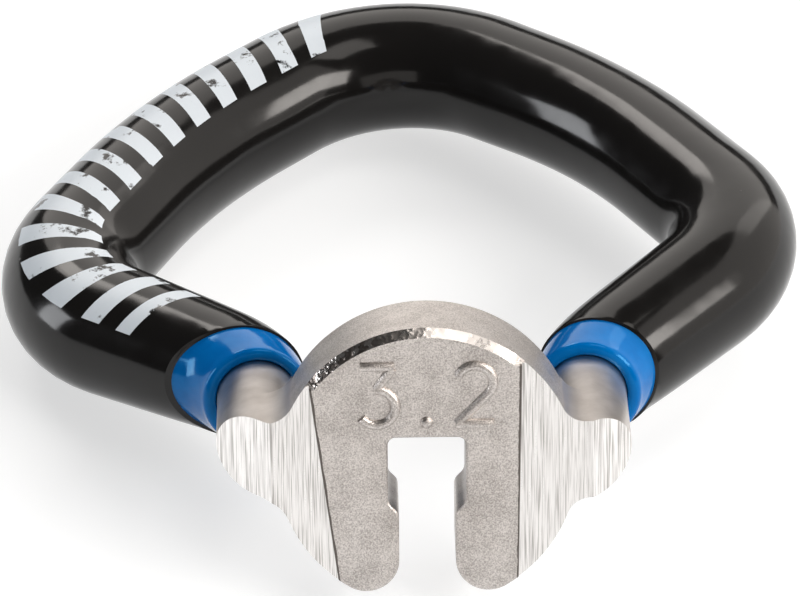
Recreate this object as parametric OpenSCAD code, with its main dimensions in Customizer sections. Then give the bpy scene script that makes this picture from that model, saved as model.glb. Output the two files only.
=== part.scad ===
// Ring-handled spoke wrench: a slotted steel head between the two ends of a bent steel rod,
// brazed to it, with a blue and then a black dipped vinyl coat on the rod.
// The head's axis runs along Y, front face at y = 0, and the whole wrench is then laid down.

/* [Head] */
// Diameter of the head's disc
disc_d = 12.7; // [12.3:0.1:13.3]
// Thickness of the head, front face to back face
head_t = 3.8; // [3:0.1:5]
// Chamfer round the front and back rims
rim_chamfer = 0.4; // [0.1:0.05:0.6]

/* [Nipple pocket] */
// Size across the flats of the nipple that the wrench turns
nipple_af = 3.23; // [3.1:0.01:3.5]
// Play between the nipple and the pocket's two side flats
nipple_play = 0.07; // [0.03:0.01:0.15]
// Height of the side flats, from the pocket's ceiling down to its lips
flat_h = 3.0; // [2.4:0.1:3.4]
// Height of the pocket's ceiling above the head's axis
ceiling_z = 1.45; // [1.2:0.05:1.7]
// Diameter of the thickest spoke that passes the mouth
spoke_d = 2.3; // [1.8:0.05:2.5]
// Play between that spoke and the mouth
spoke_play = 0.1; // [0.05:0.01:0.2]
// Radius at the end of each leg, beside the mouth
leg_round = 1.4; // [0.6:0.1:1.6]

/* [Ground strips] */
// Distance from the middle of the face to the left ground strip, level with the head's axis
left_strip_x = 4.45; // [3.8:0.05:4.8]
// Distance from the middle of the face to the right ground strip, level with the head's axis
right_strip_x = 3.95; // [3.6:0.05:4.8]
// Lean of the left strip's edge, outwards at the top
left_strip_lean = 7.5; // [0:0.5:10]
// Lean of the right strip's edge, outwards at the top
right_strip_lean = 1; // [0:0.5:10]
// Depth of the ground strips below the face, where they start
strip_depth = 0.2; // [0.05:0.05:0.4]
// Slope of the ground strips to the face
strip_slope = 3; // [1:0.5:5]
// Distance from the middle of the face to where the rod's ends slope back
miter_x = 6.6; // [6.5:0.1:7]
// Slope of the rod's ends to the face, outside that
miter_slope = 44; // [30:1:50]

/* [Handle rod] */
// Diameter of the rod
rod_d = 3.5; // [3.2:0.1:3.8]
// Distance of the rod's left end from the head's axis
left_rod_x = 7.2; // [6.8:0.05:7.3]
// Distance of the rod's right end from the head's axis
right_rod_x = 7.0; // [6.8:0.05:7.3]
// Height of the rod's ends above the head's axis
rod_z = 0.3; // [0:0.05:0.7]
// Distance from the head's face to the point where the rod's ends turn outwards
knee_y = 9.2; // [8.8:0.1:10.5]
// Bend radius where the ends turn outwards
knee_r = 4.5; // [4:0.5:6]
// Distance of the loop's side corners from its middle
corner_x = 16.2; // [15:0.1:18]
// Distance of the side corners behind the knees
corner_y = 8; // [7.5:0.1:9]
// Bend radius of the side corners
corner_r = 5; // [4:0.5:6]
// Distance from the loop's middle to the bow of its back sides
side_x = 9.9; // [9:0.1:10.5]
// Distance of that bow behind the knees
side_y = 18.4; // [18:0.1:19.4]
// Bend radius of the bow
side_r = 25; // [15:1:28]
// Distance of the loop's far corner behind the knees
far_y = 26.4; // [25.8:0.1:28]
// Bend radius of the far corner
far_r = 7.6; // [5:0.2:8]
// Rise of the loop towards its far end, so that it clears the spoke
loop_tilt = 15; // [8:1:20]
// Twist of the loop about the wrench's length
loop_twist = 4; // [0:0.5:6]
// Sideways set of the loop's middle from the head's middle
loop_offset = -0.8; // [-1.2:0.1:1.2]

/* [Brazed joints] */
// Gap between the rod and its groove in the head, filled by the braze
braze_gap = 0.08; // [0.05:0.01:0.15]
// Radius of the braze fillets beside the rod
fillet_r = 1.0; // [0.7:0.1:1.3]

/* [Vinyl coats] */
// Thickness of the blue undercoat
blue_t = 0.65; // [0.4:0.05:0.7]
// Straight length of the blue collar in front of the bend
collar_lead = 0.1; // [0.1:0.1:1]
// Length of the blue collar that shows behind that, along the bend
collar_len = 2; // [0.8:0.1:2.4]
// Thickness of the black coat at the knees
black_knee_t = 0.3; // [0.25:0.05:0.6]
// Thickness of the black coat at the side corners
black_corner_t = 0.7; // [0.5:0.05:1]
// Thickness of the black coat along the bowed back sides
black_side_t = 0.4; // [0.3:0.05:0.9]
// Thickness of the black coat at the far corner
black_far_t = 0.5; // [0.3:0.05:0.9]

/* [Placement] */
// Pitch of the head as the wrench lies on a bench, on its legs and its loop
lie_pitch = 17; // [10:1:20]

/* [Hidden] */
$fn = 72;

disc_r = disc_d / 2;
pocket_w = nipple_af + nipple_play;
mouth_w = spoke_d + spoke_play;
lip = (pocket_w - mouth_w) / 2;
lip_z = ceiling_z - flat_h;

rod_r = rod_d / 2;
groove_r = rod_r + braze_gap;
blue_r = rod_r + blue_t;

// Length by which a cutter runs past what it cuts
over = 2;
// How far a straight runs into a bend, and how much thinner it is there
joint_lap = 0.3;
joint_step = 0.06;
// How far a braze fillet bites into the disc's rim and the rod
fillet_bite = 0.07;

// Middle of the rounding at a leg's end, which touches the mouth's wall and the disc's rim
leg_round_x = mouth_w / 2 + leg_round;
leg_round_z = -sqrt(pow(disc_r - leg_round, 2) - pow(leg_round_x, 2));

// A side is 1 on the right and -1 on the left
RIGHT = 1;
LEFT = -1;
function rod_x(side) = side == RIGHT ? right_rod_x : left_rod_x;
function strip_x(side) = side == RIGHT ? right_strip_x : left_strip_x;
function strip_lean(side) = side == RIGHT ? right_strip_lean : left_strip_lean;
// Distance of the rod's end from the head's axis
function rod_off(side) = norm([rod_x(side), rod_z]);
// Middle of a braze fillet, beside the disc's rim and the rod, along the way to the rod and across it
function fillet_x(side) =
    (pow(disc_r + fillet_r, 2) - pow(rod_r + fillet_r, 2) + pow(rod_off(side), 2)) / (2 * rod_off(side));
function fillet_z(side) = sqrt(pow(disc_r + fillet_r, 2) - pow(fillet_x(side), 2));

function unit(v) = v / norm(v);

// A point of the loop's own plane, tilted and twisted into its place behind the knees
function loop_point(x, y) =
    let (tilted = [x + loop_offset, y * cos(loop_tilt), y * sin(loop_tilt)])
    [tilted.x * cos(loop_twist) - tilted.z * sin(loop_twist),
     knee_y + tilted.y,
     rod_z + tilted.x * sin(loop_twist) + tilted.z * cos(loop_twist)];

// The rod's course from its left end to its right end, with a bend at each inner point
course = [
    [-left_rod_x, 0, rod_z],
    [-left_rod_x, knee_y, rod_z],
    loop_point(-corner_x, corner_y),
    loop_point(-side_x, side_y),
    loop_point(0, far_y),
    loop_point(side_x, side_y),
    loop_point(corner_x, corner_y),
    [right_rod_x, knee_y, rod_z],
    [right_rod_x, 0, rod_z]
];
bend_r = [0, knee_r, corner_r, side_r, far_r, side_r, corner_r, knee_r, 0];
last = len(course) - 1;

function heading(i) = unit(course[i + 1] - course[i]);
function inner(i) = i > 0 && i < last;
function turn(i) = inner(i) ? acos(heading(i - 1) * heading(i)) : 0;
function reach(i) = bend_r[i] * tan(turn(i) / 2);
function straight_from(i) = course[i] + heading(i) * reach(i);
function straight_length(i) = norm(course[i + 1] - course[i]) - reach(i) - reach(i + 1);

// Outer radius of the black coat at each point of the course
black_t = [0, black_knee_t, black_corner_t, black_side_t, black_far_t,
           black_side_t, black_corner_t, black_knee_t, 0];
black_r = [for (t = black_t) blue_r + t];
// Angle of the knee's bend that the blue collar takes
collar_angle = collar_len / knee_r * 180 / PI;

// Lay the wrench on its legs and its loop
module laid() {
    rotate([-lie_pitch, 0, 0]) children();
}

// Turn a flat outline in X and Z into a body from the front face to depth y
module through(y) {
    rotate([90, 0, 0]) translate([0, 0, -y]) linear_extrude(y) children();
}

// Put what stands on the origin, along Z, on straight i of the course
module on_straight(i, along = 0) {
    z = heading(i);
    x = unit(cross(z, [0, 0, 1]));
    y = cross(z, x);
    p = straight_from(i) + z * along;
    multmatrix([[x.x, y.x, z.x, p.x], [x.y, y.y, z.y, p.y], [x.z, y.z, z.z, p.z], [0, 0, 0, 1]])
        children();
}

// Put a ring that turns from +X about Z on bend i of the course
module on_bend(i) {
    y = heading(i - 1);
    x = unit(y * (heading(i) * y) - heading(i));
    z = cross(x, y);
    p = course[i] - y * reach(i) - x * bend_r[i];
    multmatrix([[x.x, y.x, z.x, p.x], [x.y, y.y, z.y, p.y], [x.z, y.z, z.z, p.z], [0, 0, 0, 1]])
        children();
}

// Bend i of the course, from one angle to another
module bend(i, r, from, to) {
    on_bend(i) rotate([0, 0, from]) rotate_extrude(angle = to - from) translate([bend_r[i], 0]) circle(r);
}

// Straight i of the course, from one distance to another, with a taper where r1 and r2 differ.
// It is a hair thinner than the bends and runs a little way into them.
module straight(i, r1, r2, from, to) {
    on_straight(i, from) cylinder(h = to - from, r1 = r1 - joint_step, r2 = r2 - joint_step);
}

// The course from the left knee to the right knee, with radius r[i] at point i.
// The two knees' bends start at angle skip.
module loop_pipe(r, skip) {
    bend(1, r[1], skip, turn(1));
    for (i = [2 : last - 2]) bend(i, r[i], 0, turn(i));
    bend(last - 1, r[last - 1], 0, turn(last - 1) - skip);
    for (i = [1 : last - 2]) straight(i, r[i], r[i + 1], -joint_lap, straight_length(i) + joint_lap);
}

// The loop with a straight length of its left and its right end in front of the knees
module ended_pipe(r, left_length, right_length) {
    end = straight_length(0);
    loop_pipe([for (p = course) r], 0);
    straight(0, r, r, end - left_length, end + joint_lap);
    straight(last - 1, r, r, -joint_lap, right_length);
}

module rod_pipe() {
    ended_pipe(rod_r, straight_length(0), straight_length(last - 1));
}

module blue_pipe() {
    ended_pipe(blue_r, collar_lead, collar_lead);
}

// Turn what is drawn for the right side to the side where it belongs
module on_side(side) {
    mirror([side == RIGHT ? 0 : 1, 0, 0]) children();
}

// Cutter for the groove that one of the rod's ends lies in, past both faces of the head
module groove_cut(side) {
    on_side(side) translate([rod_x(side), -over, rod_z]) rotate([-90, 0, 0])
        cylinder(h = head_t + 2 * over, r = groove_r);
}

// Cutter for a ground strip on one side, which slopes further back over the rod's end
module strip_cut(side) {
    long = 2 * disc_d;
    miter_y = strip_depth + (miter_x - strip_x(side)) * tan(strip_slope);
    on_side(side) {
        translate([strip_x(side), strip_depth, 0]) rotate([0, strip_lean(side), 0])
            rotate([0, 0, strip_slope]) translate([0, -over, -disc_d]) cube([disc_d, over, long]);
        translate([miter_x, miter_y, 0]) rotate([0, 0, miter_slope])
            translate([0, -disc_r, -disc_d]) cube([disc_r, disc_r, long]);
    }
}

// Outline of the pocket, its lips and its mouth
module slot_outline() {
    pocket_h = pocket_w / 2;
    mouth_h = mouth_w / 2;
    polygon([
        [-pocket_h, ceiling_z], [pocket_h, ceiling_z], [pocket_h, lip_z], [mouth_h, lip_z - lip],
        [mouth_h, -disc_r - over], [-mouth_h, -disc_r - over], [-mouth_h, lip_z - lip],
        [-pocket_h, lip_z]
    ]);
}

// Outline of what the rounding takes off the right leg's end
module leg_end_outline() {
    mouth_h = mouth_w / 2;
    outwards = (disc_r + over) / (disc_r - leg_round);
    difference() {
        polygon([
            [mouth_h - over / 2, leg_round_z], [leg_round_x, leg_round_z],
            [leg_round_x * outwards, leg_round_z * outwards], [mouth_h - over / 2, -disc_r - over]
        ]);
        translate([leg_round_x, leg_round_z]) circle(leg_round);
    }
}

// Disc with its chamfered rims, front face at y = 0
module disc() {
    rotate([-90, 0, 0]) rotate_extrude() polygon([
        [0, 0], [disc_r - rim_chamfer, 0], [disc_r, rim_chamfer],
        [disc_r, head_t - rim_chamfer], [disc_r - rim_chamfer, head_t], [0, head_t]
    ]);
}

module head() {
    color("silver") laid() difference() {
        disc();
        translate([0, -over, 0]) through(head_t + 2 * over) slot_outline();
        for (side = [LEFT, RIGHT]) {
            on_side(side) translate([0, -over, 0]) through(head_t + 2 * over) leg_end_outline();
            groove_cut(side);
            strip_cut(side);
        }
    }
}

module handle_rod() {
    color("gainsboro") laid() difference() {
        rod_pipe();
        for (side = [LEFT, RIGHT]) strip_cut(side);
    }
}

// Outline of the braze, drawn for the right side: a thin film in the groove, and a fillet above and below
module braze_outline(side) {
    $fn = 360;
    x = fillet_x(side);
    z = fillet_z(side);
    off = rod_off(side);
    rotate(atan2(rod_z, rod_x(side))) difference() {
        polygon([[0, 0], [x, z], [off, 0], [x, -z]]);
        for (up = [-z, z]) translate([x, up]) circle(fillet_r + fillet_bite);
        translate([off, 0]) circle(rod_r - joint_step);
        difference() {
            circle(disc_r);
            translate([off, 0]) circle(groove_r);
        }
    }
}

module braze(side) {
    difference() {
        on_side(side) through(head_t) braze_outline(side);
        strip_cut(side);
    }
}

module right_braze() {
    color("darkgray") laid() braze(RIGHT);
}

module left_braze() {
    color("darkgray") laid() braze(LEFT);
}

module blue_undercoat() {
    color("royalblue") laid() difference() {
        blue_pipe();
        rod_pipe();
    }
}

module black_grip() {
    color("#1c1c1e") laid() difference() {
        loop_pipe(black_r, collar_angle);
        blue_pipe();
    }
}

head();
handle_rod();
left_braze();
right_braze();
blue_undercoat();
black_grip();
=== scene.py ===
# %% [markdown]
# A ring-handled spoke wrench. A slotted steel head sits between the two ends of one bent steel rod, is
# brazed to it, and the rod's loop is dipped first in blue and then in black vinyl. This lesson rebuilds
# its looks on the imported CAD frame, one piece at a time, in the order in which a maker would make it.

# %% Load the frame
import math

import bpy
import numpy as np
from mathutils import Matrix, Vector


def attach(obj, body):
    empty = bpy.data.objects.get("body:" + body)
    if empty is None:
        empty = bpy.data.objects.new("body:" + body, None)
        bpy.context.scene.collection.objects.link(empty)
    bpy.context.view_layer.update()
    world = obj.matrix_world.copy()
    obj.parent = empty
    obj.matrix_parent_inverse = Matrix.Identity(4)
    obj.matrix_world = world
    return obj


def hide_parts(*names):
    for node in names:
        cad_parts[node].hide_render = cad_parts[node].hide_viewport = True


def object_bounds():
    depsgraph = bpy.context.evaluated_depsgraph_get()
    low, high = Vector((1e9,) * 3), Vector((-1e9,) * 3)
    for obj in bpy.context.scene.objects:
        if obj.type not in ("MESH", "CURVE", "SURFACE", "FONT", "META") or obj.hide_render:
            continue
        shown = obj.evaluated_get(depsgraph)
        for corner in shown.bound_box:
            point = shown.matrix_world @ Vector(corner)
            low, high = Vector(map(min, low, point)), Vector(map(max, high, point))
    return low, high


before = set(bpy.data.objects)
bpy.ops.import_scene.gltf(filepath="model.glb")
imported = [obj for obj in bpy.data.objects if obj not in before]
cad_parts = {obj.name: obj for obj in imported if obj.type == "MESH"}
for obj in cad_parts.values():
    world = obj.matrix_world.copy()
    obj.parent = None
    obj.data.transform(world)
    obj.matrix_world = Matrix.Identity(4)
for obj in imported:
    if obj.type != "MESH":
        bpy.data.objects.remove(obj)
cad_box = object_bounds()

MM = 0.001
WELD = 0.002
print("CAD box, mm:", [[round(x / MM, 2) for x in corner] for corner in cad_box])

# %% [markdown]
# The sizes below are the design's own, in millimetres. Everything is first modelled with the head's axis
# along Y, its front face at y = 0 and Z upwards, as it is drawn on paper. A last step pitches each piece
# the way the wrench lies on a bench, which is where the frame's nodes are.

# %% Sizes of the head
DISC_R = 6.35
HEAD_T = 3.8
RIM_CHAMFER = 0.34
POCKET_HALF = 1.65
POCKET_ROUND = 0.35
MOUTH_HALF = 1.2
CEILING_Z = 1.45
LIP_Z = CEILING_Z - 3.0
LIP_ROUND = 0.55
LEG_ROUND = 1.4
LEFT, RIGHT = -1, 1
STRIP_X = {LEFT: 4.45, RIGHT: 3.95}
STRIP_LEAN = {LEFT: math.radians(7.5), RIGHT: math.radians(1)}
STRIP_DEPTH = 0.2
STRIP_SLOPE = {LEFT: math.radians(3), RIGHT: math.radians(1)}
MITER_X, MITER_SLOPE = {LEFT: 6.6, RIGHT: 7.05}, math.radians(44)
CHAMFER_X, CHAMFER_Z = {LEFT: 5.2, RIGHT: 4.2}, 3.2
EDGE_BREAK = 0.14
# The width and depth, in millimetres, of the ragged line of painted shade along the strips' edges.
SHADE_LINE_WIDTH, SHADE_LINE_DEPTH = 0.08, 0.1

# %% Sizes of the rod, the brazed joints and the coats
ROD_R = 1.75
ROD_X = {LEFT: 7.2, RIGHT: 7.0}
ROD_Z = 0.3
GROOVE_R = 1.83
FILLET_R = {LEFT: 1.4, RIGHT: 1.1}
KNEE_Y, KNEE_R = 9.2, 4.5
CORNER_X, CORNER_Y, CORNER_R = 16.2, 8.0, 5.0
SIDE_X, SIDE_Y, SIDE_R = 9.9, 18.4, 25.0
FAR_Y, FAR_R = 26.4, 7.6
LOOP_TILT, LOOP_TWIST, LOOP_OFFSET = math.radians(15), math.radians(4), -0.8
BLUE_RIM_R, BLUE_R = 2.3, 2.52
BLUE_FROM, BLUE_FLARE, BLUE_SPREAD = 0.08, 0.5, 0.4
BLACK_FROM, BLACK_RIM_R, BLACK_SPREAD = 0.2, 2.57, 1.2
BLUE_ROUND, BLACK_ROUND = 0.26, 0.04
DIP_Y, DIP_LEAN = 9.4, {LEFT: math.radians(7), RIGHT: math.radians(15)}
KNEE_BLACK_R, FAR_BLACK_R = 2.72, 2.9
CORNER_BLACK_R, SIDE_BLACK_R = {LEFT: 3.1, RIGHT: 2.87}, {LEFT: 3.0, RIGHT: 2.8}
LIE_PITCH = math.radians(17)


# %% Helpers that select, open and finish a piece
def deselect():
    bpy.ops.object.select_all(action="DESELECT")


def only(piece):
    deselect()
    piece.select_set(True)
    bpy.context.view_layer.objects.active = piece


def edit(piece):
    only(piece)
    bpy.ops.object.mode_set(mode="EDIT")
    bpy.ops.mesh.select_all(action="DESELECT")


def leave_edit():
    bpy.ops.object.mode_set(mode="OBJECT")


def apply_modifier(piece, kind, **settings):
    only(piece)
    modifier = piece.modifiers.new(kind.title(), kind)
    for name, value in settings.items():
        setattr(modifier, name, value)
    bpy.ops.object.modifier_apply(modifier=modifier.name)


def combine(piece, other, operation):
    apply_modifier(piece, "BOOLEAN", operation=operation, solver="EXACT", object=other)
    bpy.data.objects.remove(other)


def outwards(piece, inside=False):
    edit(piece)
    bpy.ops.mesh.select_all(action="SELECT")
    bpy.ops.mesh.normals_make_consistent(inside=inside)
    leave_edit()


def smooth(piece, degrees):
    only(piece)
    bpy.ops.object.shade_smooth_by_angle(angle=math.radians(degrees))


def lay_down(piece):
    only(piece)
    piece.rotation_euler = (-LIE_PITCH, 0, 0)
    bpy.ops.object.transform_apply(location=True, rotation=True, scale=True)


def measure(piece):
    points = np.array([v.co for v in piece.data.vertices]) / MM
    print(piece.name, len(piece.data.polygons), "faces, mm:", np.round(points.max(0) - points.min(0), 2))


# %% [markdown]
# Flat outlines are drawn the way a pen draws them: one vertex is extruded along each straight and spun
# round each arc, then the loop is filled and pulled to its depth. That keeps arcs round with few points.

# %% A pen that draws an outline in X and Z and pulls it along Y
ARC_STEP, ARC_LENGTH = 5, 0.25


def draw(name, start, strokes, y):
    deselect()
    bpy.ops.mesh.primitive_plane_add(size=MM, location=(0, 0, 0))
    piece = bpy.context.object
    piece.name = name
    bpy.ops.object.mode_set(mode="EDIT")
    bpy.ops.mesh.select_mode(type="VERT")
    bpy.ops.mesh.select_all(action="SELECT")
    bpy.ops.mesh.merge(type="CENTER")
    bpy.ops.transform.translate(value=(start[0] * MM, y * MM, start[1] * MM))
    at = Vector(start)
    for kind, x, z, *degrees in strokes:
        if kind == "line":
            step = (Vector((x, z)) - at) * MM
            bpy.ops.mesh.extrude_region_move(TRANSFORM_OT_translate={"value": (step.x, 0, step.y)})
            at = Vector((x, z))
        else:
            turn, centre = math.radians(degrees[0]), Vector((x, z))
            arc_length = abs(turn) * (at - centre).length
            steps = max(round(abs(degrees[0]) / ARC_STEP), math.ceil(arc_length / ARC_LENGTH))
            bpy.ops.mesh.spin(steps=steps, angle=turn, center=(x * MM, y * MM, z * MM), axis=(0, 1, 0))
            at = centre + Matrix.Rotation(turn, 2) @ (at - centre)
    bpy.ops.mesh.select_all(action="SELECT")
    bpy.ops.mesh.remove_doubles(threshold=WELD * MM)
    return piece


def outline(name, start, strokes, y_from, y_to):
    piece = draw(name, start, strokes, y_from)
    bpy.ops.mesh.edge_face_add()
    bpy.ops.mesh.extrude_region_move(TRANSFORM_OT_translate={"value": (0, (y_to - y_from) * MM, 0)})
    leave_edit()
    outwards(piece)
    return piece


# %% [markdown]
# The head is a slice of steel whose outline is broached and milled right through: a square pocket with two
# lips, a mouth, two legs with round ends and a round rim. So the whole outline is drawn once and pulled to the
# head's thickness. Bevels then give the chamfers of its rim and the broken edges of its legs and pocket.

# %% The head's outline, pulled to its thickness
CLEAR = 1.0
lip = POCKET_HALF - MOUTH_HALF
inner_x, inner_z = POCKET_HALF - POCKET_ROUND, CEILING_Z - POCKET_ROUND
lip_reach = LIP_ROUND * math.tan(math.radians(22.5))
lip_step = lip_reach * math.sqrt(0.5)
lip_top, mouth_top = LIP_Z + lip_reach, LIP_Z - lip - lip_reach
leg_x = MOUTH_HALF + LEG_ROUND
leg_z = -math.sqrt((DISC_R - LEG_ROUND) ** 2 - leg_x ** 2)
leg_turn = 180 + math.degrees(math.atan2(leg_z, leg_x))
rim_turn = 540 - 2 * leg_turn
head = outline("wrench_head", (-inner_x, CEILING_Z), [
    ("line", inner_x, CEILING_Z), ("arc", inner_x, inner_z, -90),
    ("line", POCKET_HALF, lip_top), ("arc", POCKET_HALF - LIP_ROUND, lip_top, -45),
    ("line", MOUTH_HALF + lip_step, LIP_Z - lip + lip_step), ("arc", MOUTH_HALF + LIP_ROUND, mouth_top, 45),
    ("line", MOUTH_HALF, leg_z), ("arc", leg_x, leg_z, leg_turn), ("arc", 0, 0, rim_turn),
    ("arc", -leg_x, leg_z, leg_turn), ("line", -MOUTH_HALF, mouth_top),
    ("arc", -MOUTH_HALF - LIP_ROUND, mouth_top, 45), ("line", lip_step - POCKET_HALF, LIP_Z - lip_step),
    ("arc", LIP_ROUND - POCKET_HALF, lip_top, -45), ("line", -POCKET_HALF, inner_z),
    ("arc", -inner_x, inner_z, -90),
], 0, HEAD_T)
measure(head)


# %% The rim's chamfers and the broken edges
RIM_CATCH = 0.01


def bevel_edges(piece, wanted, width, segments):
    """Bevel the edges whose middle, in millimetres, is wanted."""
    edit(piece)
    bpy.ops.mesh.select_mode(type="EDGE")
    leave_edit()
    for edge in piece.data.edges:
        a, b = (piece.data.vertices[v].co / MM for v in edge.vertices)
        edge.select = abs(a.y - b.y) < WELD and wanted((a + b) / 2)
    bpy.ops.object.mode_set(mode="EDIT")
    bpy.ops.mesh.bevel(offset=width * MM, segments=segments, affect="EDGES")
    bpy.ops.mesh.select_mode(type="VERT")
    leave_edit()
    measure(piece)


def on_rim(at):
    return math.hypot(at.x, at.z) > DISC_R - RIM_CATCH


def on_crown(at):
    return at.z > 0 and -CHAMFER_X[LEFT] < at.x < CHAMFER_X[RIGHT] and on_rim(at)


bevel_edges(head, lambda at: at.y > HEAD_T - WELD and on_rim(at), RIM_CHAMFER, 1)
bevel_edges(head, lambda at: at.y < WELD and on_crown(at), RIM_CHAMFER, 1)
bevel_edges(head, lambda at: at.y < WELD and at.z < CHAMFER_Z, EDGE_BREAK, 3)

# %% The grooves for the rod
for side in (LEFT, RIGHT):
    x = side * ROD_X[side]
    groove = outline("groove", (x + GROOVE_R, ROD_Z), [("arc", x, ROD_Z, 360)], -CLEAR, HEAD_T + CLEAR)
    combine(head, groove, "DIFFERENCE")
measure(head)

# %% [markdown]
# At each side a strip of the face is ground bright together with the rod's end beside it. The wheel takes
# a slightly sloping slice a little deeper than the face, and then slopes the rod's end back at a steep
# angle. So one turned block cuts the strip of the head, the rod and the braze alike, and a second one slopes
# the rod's end and the braze.

# %% The ground strips
def turned_block(side, x, y, slope, lean):
    """A block in front of a plane through x, y that slopes back outwards, with its inner edge leaning."""
    deselect()
    bpy.ops.mesh.primitive_cube_add(size=1, location=(0, 0, 0))
    block = bpy.context.object
    block.scale = (2 * DISC_R * MM, DISC_R * MM, 4 * DISC_R * MM)
    bpy.ops.object.transform_apply(location=False, rotation=False, scale=True)
    block.location = (DISC_R * MM, -DISC_R / 2 * MM, 0)
    bpy.ops.object.transform_apply(location=True, rotation=False, scale=False)
    turn = Matrix.Rotation(lean, 4, "Y") @ Matrix.Rotation(slope, 4, "Z")
    block.matrix_world = Matrix.Translation(Vector((x, y, 0)) * MM) @ turn
    bpy.ops.object.transform_apply(location=True, rotation=True, scale=True)
    block.scale = (side, 1, 1)
    bpy.ops.object.transform_apply(location=False, rotation=False, scale=True)
    outwards(block)
    return block


def strip_block(side):
    return turned_block(side, STRIP_X[side], STRIP_DEPTH, STRIP_SLOPE[side], STRIP_LEAN[side])


def miter_block(side):
    miter_y = STRIP_DEPTH + (MITER_X[side] - STRIP_X[side]) * math.tan(STRIP_SLOPE[side])
    return turned_block(side, MITER_X[side], miter_y, MITER_SLOPE, 0)


for side in (LEFT, RIGHT):
    combine(head, strip_block(side), "DIFFERENCE")
measure(head)

# %% [markdown]
# A raised size mark stands on the face above the pocket: the width across flats, in millimetres, of the
# nipple that the wrench fits. Each stroke is a pen line that becomes a curve with a round profile, then a
# mesh with rounded ends, and is joined to the head.

# %% The raised size mark
RIDGE_R, RIDGE_ROUND = 0.23, 0.6
DOT_R, DOT_FLAT, DOT_SINK, DOT_Z = 0.28, 0.75, 0.06, 2.17


def ridge(sink, start, strokes):
    """Join to the head a round stroke whose middle lies sunk behind the face."""
    draw("ridge", start, strokes, sink)
    leave_edit()
    bpy.ops.object.convert(target="CURVE")
    stroke = bpy.context.object
    stroke.data.bevel_depth = RIDGE_R * MM
    stroke.data.bevel_resolution = 5
    stroke.data.use_fill_caps = True
    bpy.ops.object.convert(target="MESH")
    stroke = bpy.context.object
    bpy.ops.object.mode_set(mode="EDIT")
    bpy.ops.mesh.select_all(action="SELECT")
    bpy.ops.mesh.remove_doubles(threshold=WELD * MM)
    leave_edit()
    outwards(stroke)
    apply_modifier(stroke, "BEVEL", width=RIDGE_ROUND * RIDGE_R * MM, segments=3, limit_method="ANGLE",
                   angle_limit=math.radians(60))
    combine(head, stroke, "UNION")


def on_arc(x, z, radius, degrees):
    return (x + radius * math.cos(math.radians(degrees)), z + radius * math.sin(math.radians(degrees)))


ridge(0.06, (-2.8, 4.72), [("line", -1.37, 4.72)])
ridge(0.07, (-1.43, 4.67), [("line", -2.1, 3.7)])
ridge(0.05, on_arc(-2.12, 2.88, 0.8, 92), [("arc", -2.12, 2.88, -235)])
ridge(0.06, on_arc(2.05, 3.98, 0.76, 160), [("arc", 2.05, 3.98, -200), ("line", 1.28, 2.1)])
ridge(0.05, (1.24, 2.1), [("line", 2.85, 2.1)])
deselect()
bpy.ops.mesh.primitive_uv_sphere_add(segments=32, ring_count=16, radius=DOT_R * MM, scale=(1, DOT_FLAT, 1),
                                     location=(0, DOT_SINK * MM, DOT_Z * MM))
combine(head, bpy.context.object, "UNION")
smooth(head, 25)
measure(head)

# %% [markdown]
# The rod is bent the way the real one is: a ring is pulled along each straight and spun round the middle
# of each bend. The same course carries the two vinyl coats, which are wider rings on the same line.

# %% The rod's course
def loop_point(x, y):
    tilted = Vector((x + LOOP_OFFSET, y * math.cos(LOOP_TILT), y * math.sin(LOOP_TILT)))
    twisted = Matrix.Rotation(-LOOP_TWIST, 3, "Y") @ tilted
    return Vector((twisted.x, KNEE_Y + twisted.y, ROD_Z + twisted.z))


course = [
    Vector((-ROD_X[LEFT], 0, ROD_Z)), Vector((-ROD_X[LEFT], KNEE_Y, ROD_Z)),
    loop_point(-CORNER_X, CORNER_Y), loop_point(-SIDE_X, SIDE_Y), loop_point(0, FAR_Y),
    loop_point(SIDE_X, SIDE_Y), loop_point(CORNER_X, CORNER_Y),
    Vector((ROD_X[RIGHT], KNEE_Y, ROD_Z)), Vector((ROD_X[RIGHT], 0, ROD_Z))]
bend_r = [0, KNEE_R, CORNER_R, SIDE_R, FAR_R, SIDE_R, CORNER_R, KNEE_R, 0]
LAST = len(course) - 1
headings = [(course[i + 1] - course[i]).normalized() for i in range(LAST)]
turns = [headings[i - 1].angle(headings[i]) if 0 < i < LAST else 0 for i in range(LAST + 1)]
reaches = [bend_r[i] * math.tan(turns[i] / 2) for i in range(LAST + 1)]
straights = [(course[i + 1] - course[i]).length - reaches[i] - reaches[i + 1] for i in range(LAST)]
bend_lengths = [bend_r[i] * turns[i] for i in range(LAST + 1)]
bend_starts = [sum(straights[:i]) + sum(bend_lengths[:i]) for i in range(LAST + 1)]
course_length = sum(straights) + sum(bend_lengths)
print("straights, mm:", [round(x, 2) for x in straights], "course, mm:", round(course_length, 1))


def bend_axis(i):
    return headings[i - 1].cross(headings[i]).normalized()


def bend_centre(i):
    inwards = bend_axis(i).cross(headings[i - 1])
    return course[i] - headings[i - 1] * reaches[i] + inwards * bend_r[i]


# %% A ring that is pulled and spun along the course
RING, RING_STEP = 72, 0.6
KNOT_STEP, KNOT_REACH = 0.2, 30


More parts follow.
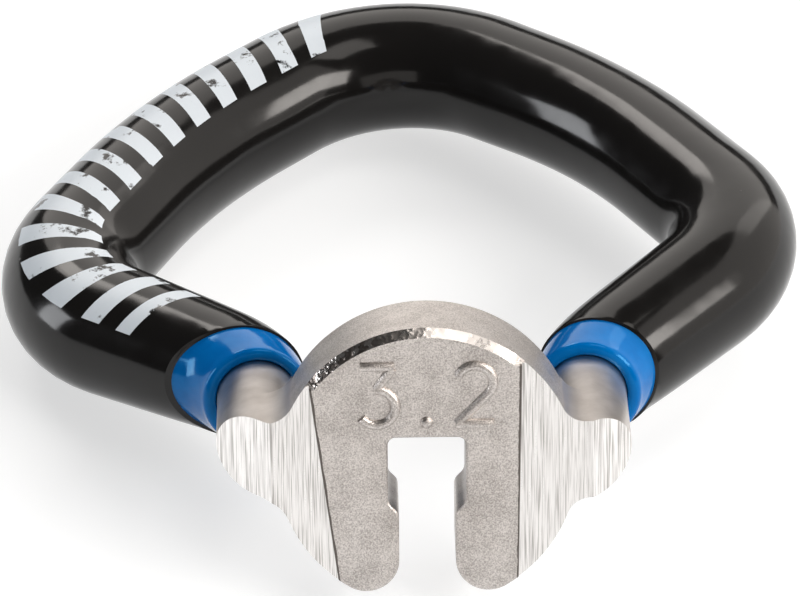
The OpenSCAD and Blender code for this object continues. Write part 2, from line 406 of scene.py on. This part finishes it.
class Sweep:
    """A ring of vertices on the course, pulled along it by edit-mode operators."""

    def __init__(self, name, at, heading, radius, gone=0):
        deselect()
        turn = heading.to_track_quat("Z", "Y").to_euler()
        bpy.ops.mesh.primitive_circle_add(vertices=RING, radius=radius * MM, location=(0, 0, 0))
        self.piece = bpy.context.object
        self.piece.name = name
        self.piece.location = at * MM
        self.piece.rotation_euler = turn
        bpy.ops.object.transform_apply(location=True, rotation=True, scale=True)
        bpy.ops.object.mode_set(mode="EDIT")
        bpy.ops.mesh.select_mode(type="VERT")
        bpy.ops.mesh.select_all(action="SELECT")
        self.at, self.radius, self.gone = at.copy(), radius, gone

    def widen(self, radius):
        if radius == self.radius:
            return
        k = radius / self.radius
        bpy.ops.transform.resize(value=(k, k, k), center_override=self.at * MM)
        self.radius = radius

    def pull(self, step):
        bpy.ops.mesh.extrude_region_move(TRANSFORM_OT_translate={"value": step * MM})
        self.at = self.at + step

    def straight(self, heading, length, radius_at):
        count = max(1, math.ceil(length / RING_STEP))
        for _ in range(count):
            self.pull(heading * length / count)
            self.gone += length / count
            self.widen(radius_at(self.gone))

    def spin(self, i, angle):
        # The spin operator turns the left-handed way, so the angle is negative.
        centre, axis = bend_centre(i), bend_axis(i)
        bpy.ops.mesh.spin(steps=1, angle=-angle, center=centre * MM, axis=axis)
        self.at = centre + Matrix.Rotation(angle, 3, axis) @ (self.at - centre)

    def bend(self, i, angle, radius_at):
        count = max(4, math.ceil(angle * bend_r[i] / RING_STEP))
        for _ in range(count):
            self.spin(i, angle / count)
            self.gone += angle * bend_r[i] / count
            self.widen(radius_at(self.gone))

    def follow(self, radius_at):
        """Go round the loop between the two knees."""
        self.straight(headings[1], straights[1], radius_at)
        for i in range(2, LAST - 1):
            self.bend(i, turns[i], radius_at)
            self.straight(headings[i], straights[i], radius_at)

    def done(self):
        leave_edit()
        return self.piece


def plain(radius):
    return lambda gone: radius


def swelling(knots, spread):
    """A radius along the course that passes smoothly near the (distance, radius) knots."""
    places = np.arange(0, course_length, KNOT_STEP)
    radii = np.interp(places, *zip(*knots))
    nearby = np.arange(-KNOT_REACH, KNOT_REACH + 1) * KNOT_STEP
    weights = np.exp(-0.5 * (nearby / spread) ** 2)
    smoothed = np.convolve(np.pad(radii, KNOT_REACH, mode="edge"), weights / weights.sum(), mode="valid")
    return lambda gone: float(np.interp(gone, places, smoothed))


# %% The bent rod, with its ends ground to the strips
sweep = Sweep("bent_rod", course[0], headings[0], ROD_R)
rod_r = plain(ROD_R)
sweep.straight(headings[0], straights[0], rod_r)
sweep.bend(1, turns[1], rod_r)
sweep.follow(rod_r)
sweep.bend(LAST - 1, turns[LAST - 1], rod_r)
sweep.straight(headings[-1], straights[-1], rod_r)
print("end of the sweep, mm:", [round(x, 2) for x in sweep.at], "wanted", [round(x, 2) for x in course[-1]])
bpy.ops.mesh.select_all(action="SELECT")
bpy.ops.mesh.fill_holes(sides=0)
rod = sweep.done()
outwards(rod)
for side in (LEFT, RIGHT):
    combine(rod, strip_block(side), "DIFFERENCE")
    combine(rod, miter_block(side), "DIFFERENCE")
smooth(rod, 30)
measure(rod)

# %% [markdown]
# Braze fills the thin gap between the rod and its groove and draws a fillet above and below it. Its outline
# runs round the fillets, the rod and the groove, so it meets both pieces without a gap.

# %% The brazed joints
def degrees_between(a, b):
    return math.degrees(math.atan2(a.x * b.y - a.y * b.x, a.dot(b)))


def braze(name, side):
    middle = Vector((ROD_X[side], ROD_Z))
    along = middle.normalized()
    across = Vector((-along.y, along.x))
    d = middle.length
    r = FILLET_R[side]
    fx = ((DISC_R + r) ** 2 - (ROD_R + r) ** 2 + d * d) / (2 * d)
    fz = math.sqrt((DISC_R + r) ** 2 - fx * fx)
    gx = (DISC_R ** 2 - GROOVE_R ** 2 + d * d) / (2 * d)
    gz = math.sqrt(DISC_R ** 2 - gx * gx)
    upper, lower = along * fx + across * fz, along * fx - across * fz
    on_disc = [f.normalized() * DISC_R for f in (upper, lower)]
    on_rod = [middle + (f - middle).normalized() * ROD_R for f in (upper, lower)]
    corner = [along * gx + across * gz, along * gx - across * gz]

    def arc(centre, start, end):
        return ("arc", side * centre.x, centre.y, side * degrees_between(start - centre, end - centre))

    def line(point):
        return ("line", side * point.x, point.y)

    piece = outline(name, (side * on_disc[0].x, on_disc[0].y), [
        arc(upper, on_disc[0], on_rod[0]), arc(middle, on_rod[0], on_rod[1]),
        arc(lower, on_rod[1], on_disc[1]), line(corner[1]), arc(middle, corner[1], corner[0])], 0, HEAD_T)
    combine(piece, strip_block(side), "DIFFERENCE")
    combine(piece, miter_block(side), "DIFFERENCE")
    smooth(piece, 30)
    measure(piece)
    return piece


left_braze, right_braze = braze("left_braze_fillet", LEFT), braze("right_braze_fillet", RIGHT)

# %% [markdown]
# A dipped coat is a sleeve: an outer skin that swells and thins along the loop, and an inner skin that lies
# on what it coats. The two skins are swept one after the other, joined, and their ends are bridged. The blue
# coat flares from its rim and ends in a rounded lip. The black coat stops where the dip's surface stood, so
# a block cuts it off at that level.

# %% A sleeve of vinyl on the course
def start_on_knee(angle):
    turn = Matrix.Rotation(angle, 3, bend_axis(1))
    start = course[1] - headings[0] * reaches[1]
    return bend_centre(1) + turn @ (start - bend_centre(1)), turn @ headings[0]


def skin(name, begin, radius_at):
    """Sweep from one knee to the other, from the angle begin of the first to the same angle of the last."""
    gone = bend_starts[1] + begin * KNEE_R
    sweep = Sweep(name, *start_on_knee(begin), radius_at(gone), gone)
    sweep.bend(1, turns[1] - begin, radius_at)
    sweep.follow(radius_at)
    sweep.bend(LAST - 1, turns[LAST - 1] - begin, radius_at)
    return sweep.done()


def both_ends(knots):
    """Add the knots' mirror images, counted from the course's other end."""
    return knots + [(course_length - place, radius) for place, radius in reversed(knots)]


def sleeve(name, outer, inner):
    outwards(outer)
    outwards(inner, inside=True)
    only(outer)
    inner.select_set(True)
    bpy.ops.object.join()
    outer.name = name
    for side in (LEFT, RIGHT):
        bpy.ops.object.mode_set(mode="EDIT")
        bpy.ops.mesh.select_all(action="DESELECT")
        bpy.ops.mesh.select_non_manifold(use_wire=False, use_multi_face=False, use_non_contiguous=False,
                                         use_verts=False)
        leave_edit()
        for vertex in outer.data.vertices:
            if vertex.co.x * side < 0:
                vertex.select = False
        for edge in outer.data.edges:
            edge.select = all(outer.data.vertices[v].select for v in edge.vertices)
        bpy.ops.object.mode_set(mode="EDIT")
        bpy.ops.mesh.bridge_edge_loops()
        leave_edit()
    outwards(outer)
    return outer


def round_rims(piece, width, segments):
    apply_modifier(piece, "BEVEL", width=width * MM, segments=segments, limit_method="ANGLE",
                   angle_limit=math.radians(50))
    smooth(piece, 40)
    measure(piece)


# %% The blue undercoat
KNEE_AT = bend_starts[1]
FLARED_AT = KNEE_AT + BLUE_FLARE * KNEE_R
blue_r = swelling(both_ends([(KNEE_AT + BLUE_FROM * KNEE_R, BLUE_RIM_R), (FLARED_AT, BLUE_R)]), BLUE_SPREAD)
blue = sleeve("blue_coat", skin("blue_outer", BLUE_FROM, blue_r), skin("blue_inner", BLUE_FROM, rod_r))
round_rims(blue, BLUE_ROUND, 6)

# %% The black grip
FILM = 0.03
middles = [bend_starts[i] + bend_lengths[i] / 2 for i in range(LAST + 1)]
black_r = swelling([
    (FLARED_AT, BLACK_RIM_R), (middles[1] + KNEE_R / 2, KNEE_BLACK_R),
    (middles[2], CORNER_BLACK_R[LEFT]), (middles[3], SIDE_BLACK_R[LEFT]), (middles[4], FAR_BLACK_R),
    (middles[5], SIDE_BLACK_R[RIGHT]), (middles[6], CORNER_BLACK_R[RIGHT]),
    (middles[7] - KNEE_R / 2, KNEE_BLACK_R), (course_length - FLARED_AT, BLACK_RIM_R)], BLACK_SPREAD)
black = sleeve("black_coat", skin("black_outer", BLACK_FROM, black_r),
               skin("black_inner", BLACK_FROM, lambda gone: blue_r(gone) - FILM))
for side in (LEFT, RIGHT):
    inside = DIP_Y + ROD_X[side] * math.tan(DIP_LEAN[side])
    combine(black, turned_block(side, 0, inside, -DIP_LEAN[side], 0), "DIFFERENCE")
round_rims(black, BLACK_ROUND, 3)

# %% [markdown]
# The black coat's skin gets three attributes for its print: how far along the course a point is, and how far it
# lies above and inside the rod's middle. Then every piece is pitched the way the wrench lies on a bench.

# %% Places on the black coat
BEND_POINTS, FINE_STEP = 24, 0.05


def course_samples():
    points = [course[0]]
    for i in range(1, LAST):
        start = course[i] - headings[i - 1] * reaches[i]
        for k in range(BEND_POINTS + 1):
            turn = Matrix.Rotation(turns[i] * k / BEND_POINTS, 3, bend_axis(i))
            points.append(bend_centre(i) + turn @ (start - bend_centre(i)))
    points.append(course[-1])
    points = np.array(points)
    steps = np.linalg.norm(np.diff(points, axis=0), axis=1)
    distance = np.concatenate([[0], np.cumsum(steps)])
    fine = np.arange(0, distance[-1], FINE_STEP)
    return fine, np.stack([np.interp(fine, distance, points[:, k]) for k in range(3)], axis=1)


distance, line = course_samples()
tangents = np.gradient(line, axis=0)
tangents /= np.linalg.norm(tangents, axis=1)[:, None]
up = np.array([0, -math.sin(LOOP_TILT), math.cos(LOOP_TILT)])
skin_points = np.array([v.co for v in black.data.vertices]) / MM
nearest = np.array([np.argmin(((line - p) ** 2).sum(1)) for p in skin_points])
above = up - tangents[nearest] * (tangents[nearest] @ up)[:, None]
above /= np.linalg.norm(above, axis=1)[:, None]
inside = np.cross(tangents[nearest], above)
offset = skin_points - line[nearest]
places = {"along": distance[nearest], "above": (offset * above).sum(1), "inside": (offset * inside).sum(1)}
for name, values in places.items():
    black.data.attributes.new(name, "FLOAT", "POINT").data.foreach_set("value", values.astype(np.float32))
print("course, mm:", round(distance[-1], 1))

# %% Pitch the pieces
pieces = {head: "head", rod: "handle_rod", left_braze: "left_braze", right_braze: "right_braze",
          blue: "blue_undercoat", black: "black_grip"}
for piece in pieces:
    lay_down(piece)

# %% [markdown]
# The materials share a few effects, each made once as a node group: the grain of blasted steel, the lines
# that the grinding wheel left, and the soft skin of dipped vinyl.

# %% Node helpers
def add(tree, kind, links=None, **settings):
    made = tree.nodes.new(kind)
    for name, value in settings.items():
        setattr(made, name, value)
    for socket, value in (links or {}).items():
        if isinstance(value, bpy.types.NodeSocket):
            tree.links.new(value, made.inputs[socket])
        else:
            made.inputs[socket].default_value = value
    return made


def calc(tree, operation, *values):
    return add(tree, "ShaderNodeMath", dict(enumerate(values)), operation=operation).outputs[0]


def remap(tree, value, low, high, to_low=0.0, to_high=1.0):
    return add(tree, "ShaderNodeMapRange", {0: value, 1: low, 2: high, 3: to_low, 4: to_high}).outputs[0]


def blend(tree, factor, a, b):
    made = add(tree, "ShaderNodeMix", {0: factor, 6: a, 7: b}, data_type="RGBA")
    return made.outputs[2]


def new_group(name, outputs):
    tree = bpy.data.node_groups.new(name, "ShaderNodeTree")
    for output in outputs:
        tree.interface.new_socket(output, in_out="OUTPUT", socket_type="NodeSocketFloat")
    return tree, add(tree, "ShaderNodeTexCoord").outputs["Object"], add(tree, "NodeGroupOutput")


def new_material(name):
    material = bpy.data.materials.new(name)
    material.use_nodes = True
    return material, material.node_tree, material.node_tree.nodes["Principled BSDF"]


def use_group(tree, group):
    made = add(tree, "ShaderNodeGroup")
    made.node_tree = group
    return made.outputs


def dress(tree, shader, colour, roughness, height, strength, distance):
    """Link a colour, a roughness and a bump, whose distance is in millimetres, to a shader."""
    bump = add(tree, "ShaderNodeBump", {"Height": height, "Strength": strength, "Distance": distance * MM})
    tree.links.new(colour, shader.inputs["Base Color"])
    tree.links.new(roughness, shader.inputs["Roughness"])
    tree.links.new(bump.outputs[0], shader.inputs["Normal"])


# %% The grain of blasted steel
grain, place, result = new_group("Blasted grain", ["Height", "Patch"])
fine = add(grain, "ShaderNodeTexNoise", {"Vector": place, "Scale": 15000, "Detail": 2, "Roughness": 0.6})
patch = add(grain, "ShaderNodeTexNoise", {"Vector": place, "Scale": 900, "Detail": 3, "Roughness": 0.55})
grain.links.new(fine.outputs[0], result.inputs["Height"])
grain.links.new(patch.outputs[0], result.inputs["Patch"])

# %% The grinding lines
grinding, place, result = new_group("Grinding lines", ["Lines", "Streaks"])
stood = add(grinding, "ShaderNodeMapping", {"Vector": place, "Rotation": (LIE_PITCH, 0, 0)})
stretched = add(grinding, "ShaderNodeMapping", {"Vector": stood.outputs[0], "Scale": (1, 0.2, 0.02)})
lines = add(grinding, "ShaderNodeTexNoise", {"Vector": stretched.outputs[0], "Scale": 20000, "Detail": 3})
streaks = add(grinding, "ShaderNodeTexNoise", {"Vector": stretched.outputs[0], "Scale": 6000, "Detail": 2})
grinding.links.new(lines.outputs[0], result.inputs["Lines"])
grinding.links.new(streaks.outputs[0], result.inputs["Streaks"])

# %% The skin of dipped vinyl
vinyl, place, result = new_group("Vinyl skin", ["Height", "Speck", "Haze"])
waves = add(vinyl, "ShaderNodeTexNoise", {"Vector": place, "Scale": 260, "Detail": 2})
haze = add(vinyl, "ShaderNodeTexNoise", {"Vector": place, "Scale": 900, "Detail": 5, "Roughness": 0.65})
cells = add(vinyl, "ShaderNodeTexVoronoi", {"Vector": place, "Scale": 700, "Randomness": 1})
chosen = add(vinyl, "ShaderNodeTexWhiteNoise", {"Vector": cells.outputs["Position"]})
small = remap(vinyl, cells.outputs["Distance"], 0.03, 0.07, 1, 0)
rare = calc(vinyl, "GREATER_THAN", chosen.outputs["Value"], 0.93)
vinyl.links.new(waves.outputs[0], result.inputs["Height"])
vinyl.links.new(calc(vinyl, "MULTIPLY", small, rare), result.inputs["Speck"])
vinyl.links.new(haze.outputs[0], result.inputs["Haze"])

# %% Blasted steel, with a ragged line of painted shade where the strips begin
blasted, tree, shader = new_material("Blasted steel")
skin_out = use_group(tree, grain)
speckle = calc(tree, "ADD", calc(tree, "MULTIPLY", skin_out["Height"], 0.75),
               calc(tree, "MULTIPLY", skin_out["Patch"], 0.25))
colour = blend(tree, remap(tree, speckle, 0.38, 0.61), (0.37, 0.34, 0.32, 1), (0.70, 0.655, 0.625, 1))
place = add(tree, "ShaderNodeTexCoord").outputs["Object"]
stood = add(tree, "ShaderNodeMapping", {"Vector": place, "Rotation": (LIE_PITCH, 0, 0), "Scale": [1 / MM] * 3})
x, y, z = add(tree, "ShaderNodeSeparateXYZ", {0: stood.outputs[0]}).outputs
# A dark colour painted along the strips' edges, just behind the face, stands in for the shade of their step.
gaps = [calc(tree, "SUBTRACT", calc(tree, "MULTIPLY_ADD", z, math.tan(STRIP_LEAN[side]), STRIP_X[side]),
             calc(tree, "MULTIPLY", x, side)) for side in (LEFT, RIGHT)]
ragged = calc(tree, "MULTIPLY", skin_out["Patch"], SHADE_LINE_WIDTH * 2)
near = calc(tree, "LESS_THAN", calc(tree, "MINIMUM", *gaps), ragged)
painted_step_shade = calc(tree, "MULTIPLY", near, calc(tree, "LESS_THAN", y, SHADE_LINE_DEPTH))
dress(tree, shader, blend(tree, painted_step_shade, colour, (0.13, 0.115, 0.105, 1)),
      remap(tree, skin_out["Patch"], 0.3, 0.7, 0.37, 0.28), skin_out["Height"], 0.85, 0.03)
shader.inputs["Metallic"].default_value = 1

# %% Drawn steel of the rod, and the pocket's broached steel, painted dark as shade
def plain_steel(name, dark, light, rough, strength):
    material, tree, shader = new_material(name)
    skin_out = use_group(tree, grain)
    dress(tree, shader, blend(tree, remap(tree, skin_out["Patch"], 0.3, 0.7), dark, light),
          remap(tree, skin_out["Height"], 0.3, 0.7, *rough), skin_out["Height"], strength, 0.02)
    shader.inputs["Metallic"].default_value = 1
    return material


drawn = plain_steel("Drawn steel", (0.54, 0.495, 0.46, 1), (0.68, 0.635, 0.60, 1), (0.30, 0.36), 0.12)
# The pocket's steel is painted dark: painted shade, and a painted reflection of the dark surroundings that its
# walls face.
pocket_shade_steel = plain_steel("Broached steel, painted shade", (0.22, 0.195, 0.18, 1), (0.34, 0.31, 0.29, 1), (0.26, 0.36), 0.6)

# %% The cast rim, rough and pitted, with painted shade in its pits that grows towards its left
cast, tree, shader = new_material("Cast rim")
place = add(tree, "ShaderNodeTexCoord").outputs["Object"]
noise = add(tree, "ShaderNodeTexNoise", {"Vector": place, "Scale": 3600, "Detail": 1, "Roughness": 0.5})
lumps = noise.outputs[0]
x = add(tree, "ShaderNodeSeparateXYZ", {0: place}).outputs[0]
# Towards the left the pitting grows in bump and in dark colour; the pits are real, and the extra dark at the
# left is painted shade on the side away from the lamps.
leftwards = remap(tree, x, 0.5 * MM, -2.5 * MM, 0.12, 1)
pits_and_shade = calc(tree, "MULTIPLY", remap(tree, lumps, 0.62, 0.5), leftwards)
dress(tree, shader, blend(tree, pits_and_shade, (0.80, 0.76, 0.73, 1), (0.20, 0.175, 0.16, 1)),
      remap(tree, lumps, 0.35, 0.65, 0.34, 0.22), calc(tree, "MULTIPLY", lumps, leftwards), 1, 0.08)
shader.inputs["Metallic"].default_value = 1

# %% Ground steel
ground, tree, shader = new_material("Ground steel")
cut = use_group(tree, grinding)
streaky = remap(tree, cut["Streaks"], 0.3, 0.45, 0.45, 1)
clear = calc(tree, "MULTIPLY", remap(tree, cut["Lines"], 0.33, 0.52), streaky)
dress(tree, shader, blend(tree, clear, (0.42, 0.40, 0.385, 1), (0.90, 0.88, 0.865, 1)),
      remap(tree, cut["Lines"], 0.3, 0.7, 0.38, 0.26), cut["Lines"], 0.5, 0.02)
shader.inputs["Metallic"].default_value = 1

# %% Blue vinyl
blue_vinyl, tree, shader = new_material("Blue vinyl")
coat = use_group(tree, vinyl)
dress(tree, shader, blend(tree, remap(tree, coat["Haze"], 0.3, 0.7), (0, 0.124, 0.43, 1), (0, 0.155, 0.5, 1)),
      remap(tree, coat["Haze"], 0.3, 0.7, 0.08, 0.14), coat["Height"], 0.3, 0.15)
shader.inputs["Specular IOR Level"].default_value = 0.42
shader.inputs["Specular Tint"].default_value = (0.2, 0.65, 1, 1)

# %% Black vinyl with its plain printed bars
PRINT_FROM, PRINT_TO = 13.5, 41.0
BAR_PITCH, BAR_SHARE, BAR_SLANT = 1.9, 0.52, 0.35
PRINT_HALF, PRINT_MIDDLE, PRINT_R = 1.9, -0.5, 2.9
black_vinyl, tree, shader = new_material("Black vinyl")
coat = use_group(tree, vinyl)
along, above, inside = [
    add(tree, "ShaderNodeAttribute", attribute_name=name).outputs["Fac"]
    for name in ("along", "above", "inside")]
around = calc(tree, "MULTIPLY", calc(tree, "ARCTAN2", inside, above), PRINT_R)
across = calc(tree, "SUBTRACT", around, PRINT_MIDDLE)
slanted = calc(tree, "ADD", along, calc(tree, "MULTIPLY", across, BAR_SLANT))
phase = calc(tree, "FRACT", calc(tree, "DIVIDE", slanted, BAR_PITCH))
bars = calc(tree, "LESS_THAN", phase, BAR_SHARE)
band = calc(tree, "LESS_THAN", calc(tree, "ABSOLUTE", across), PRINT_HALF)
begun = calc(tree, "MULTIPLY", calc(tree, "GREATER_THAN", slanted, PRINT_FROM),
             calc(tree, "LESS_THAN", slanted, PRINT_TO))
worn = remap(tree, coat["Haze"], 0.36, 0.42)
ink = calc(tree, "MULTIPLY", calc(tree, "MULTIPLY", bars, band), calc(tree, "MULTIPLY", begun, worn))
skin_colour = blend(tree, coat["Speck"], (0.0075, 0.007, 0.0068, 1), (0.12, 0.12, 0.12, 1))
gloss = remap(tree, coat["Haze"], 0.3, 0.7, 0.10, 0.17)
dress(tree, shader, blend(tree, ink, skin_colour, (0.62, 0.68, 0.74, 1)),
      calc(tree, "MAXIMUM", gloss, calc(tree, "MULTIPLY", ink, 0.42)), coat["Height"], 0.25, 0.2)
shader.inputs["Specular IOR Level"].default_value = 0.32

# %% Give each piece its materials
LEVEL_CATCH, SLOPE_CATCH, FACING_CATCH = 0.02, math.radians(0.7), 0.05
STAND_UP = Matrix.Rotation(LIE_PITCH, 3, "X")


def is_ground(normal):
    slope = math.atan2(abs(normal.x), -normal.y)
    slopes = (STRIP_SLOPE[LEFT if normal.x < 0 else RIGHT], MITER_SLOPE)
    return abs(normal.z) < LEVEL_CATCH and min(abs(slope - wanted) for wanted in slopes) < SLOPE_CATCH


def is_chamfer(normal, at):
    sloping = abs(normal.y + math.sqrt(0.5)) < FACING_CATCH
    return sloping and math.hypot(at.x, at.z) > DISC_R - RIM_CHAMFER and at.z > 0


def is_pocket_wall(normal, at):
    within = abs(at.x) < POCKET_HALF + WELD and LIP_Z - lip < at.z < CEILING_Z + WELD
    return within and abs(normal.y) < FACING_CATCH


for piece in (head, rod, left_braze, right_braze):
    for finish in (blasted, ground, cast, pocket_shade_steel) if piece is head else (drawn, ground):
        piece.data.materials.append(finish)
    for face in piece.data.polygons:
        normal, at = STAND_UP @ face.normal, STAND_UP @ face.center / MM
        if is_ground(normal):
            face.material_index = 1
        elif piece is head and is_chamfer(normal, at):
            face.material_index = 2
        elif piece is head and is_pocket_wall(normal, at):
            face.material_index = 3
    used = [face.material_index for face in piece.data.polygons]
    print(piece.name, "faces of each finish:", [used.count(k) for k in range(len(piece.data.materials))])
blue.data.materials.append(blue_vinyl)
black.data.materials.append(black_vinyl)

# %% [markdown]
# Each piece rides on the frame's one body and takes the place of its CAD node.

# %% Ride on the frame
for piece, node_name in pieces.items():
    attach(piece, "root")
    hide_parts(node_name)

# %% [markdown]
# The wrench lies on a white table. Two large soft boxes stand behind it and at its right like white walls. A
# smaller bright one stands at the front right as the key light, one hangs overhead for the head's chamfer, two
# more light its left, and a weak one stands in front.

# %% The table
TABLE_SIZE, TABLE_GLOW = 3, 0.6
deselect()
bpy.ops.mesh.primitive_plane_add(size=TABLE_SIZE, location=(0, 0, cad_box[0][2]))
table = bpy.context.object
table.name = "table"
paper, tree, shader = new_material("White table")
ray = add(tree, "ShaderNodeLightPath")
seen = calc(tree, "MAXIMUM", ray.outputs["Is Camera Ray"],
            calc(tree, "MAXIMUM", ray.outputs["Is Glossy Ray"], ray.outputs["Is Transmission Ray"]))
shader.inputs["Base Color"].default_value = (0.50, 0.515, 0.53, 1)
shader.inputs["Roughness"].default_value = 0.9
shader.inputs["Specular IOR Level"].default_value = 0
shader.inputs["Emission Color"].default_value = (1, 1, 1, 1)
tree.links.new(calc(tree, "MULTIPLY", seen, TABLE_GLOW), shader.inputs["Emission Strength"])
table.data.materials.append(paper)


# %% The lamps
AIM = Vector((0, 0.012, 0))


def softbox(name, azimuth, elevation, distance, size, brightness, colour):
    """A soft box at an azimuth from behind the wrench towards its right, facing the wrench."""
    lamp = bpy.data.lights.new(name, "AREA")
    lamp.shape, lamp.size, lamp.size_y = "RECTANGLE", size[0], size[1]
    lamp.energy = brightness * math.pi * size[0] * size[1]
    lamp.color = colour
    holder = bpy.data.objects.new(name, lamp)
    bpy.context.collection.objects.link(holder)
    turn, lift = math.radians(azimuth), math.radians(elevation)
    level = Vector((math.sin(turn), math.cos(turn), 0))
    place = (level * math.cos(lift) + Vector((0, 0, math.sin(lift)))) * distance
    holder.location = place + AIM
    holder.rotation_euler = place.to_track_quat("Z", "Y").to_euler()
    holder.visible_camera = False


WARM, COOL = (1, 0.95, 0.9), (0.95, 0.97, 1)
softbox("back_wall", 8, 32, 0.55, (0.75, 0.4), 2.0, WARM)
softbox("right_wall", 76, 28, 0.55, (0.8, 0.62), 1.3, WARM)
softbox("key", 119, 32, 0.55, (0.32, 0.2), 11, WARM)
softbox("overhead", 95, 76, 0.5, (0.22, 0.2), 2.6, WARM)
softbox("back_left", -30, 42, 0.55, (0.18, 0.14), 6, WARM)
softbox("left_strip", -90, 9, 0.5, (0.14, 0.28), 8, COOL)
softbox("front", 180, 15, 0.6, (0.6, 0.28), 0.9, WARM)
world = bpy.data.worlds.new("Studio")
bpy.context.scene.world = world
world.use_nodes = True
world.node_tree.nodes["Background"].inputs["Color"].default_value = (0.05, 0.05, 0.05, 1)

# %% The camera, at the photograph's view
VIEW_DOWN, VIEW_YAW, VIEW_ROLL = math.radians(21.5), math.radians(0.5), math.radians(0.5)
VIEW_DISTANCE, PIXELS_PER_MM = 300.0, 23.64
IMAGE_W, IMAGE_H, SENSOR_W = 800, 596, 36
ORIGIN_PIXEL = (427, 470)
level = Vector((math.cos(VIEW_YAW), -math.sin(VIEW_YAW), 0))
forward = Vector((math.sin(VIEW_YAW) * math.cos(VIEW_DOWN), math.cos(VIEW_YAW) * math.cos(VIEW_DOWN),
                  -math.sin(VIEW_DOWN)))
upright = level.cross(forward)
right = level * math.cos(VIEW_ROLL) - upright * math.sin(VIEW_ROLL)
top = level * math.sin(VIEW_ROLL) + upright * math.cos(VIEW_ROLL)
shift = Vector((ORIGIN_PIXEL[0] - IMAGE_W / 2, IMAGE_H / 2 - ORIGIN_PIXEL[1])) / PIXELS_PER_MM
spot = -right * shift.x - top * shift.y - forward * VIEW_DISTANCE
pose = Matrix((right, top, -forward)).transposed().to_4x4()
pose.translation = spot * MM
camera = bpy.data.objects.new("camera", bpy.data.cameras.new("camera"))
bpy.context.collection.objects.link(camera)
camera.matrix_world = Matrix.Rotation(-LIE_PITCH, 4, "X") @ pose
camera.data.sensor_width = SENSOR_W
camera.data.lens = SENSOR_W * VIEW_DISTANCE / (IMAGE_W / PIXELS_PER_MM)
bpy.context.scene.camera = camera
bpy.context.scene.view_settings.view_transform = "Standard"
print("camera lens, mm:", round(camera.data.lens, 1))
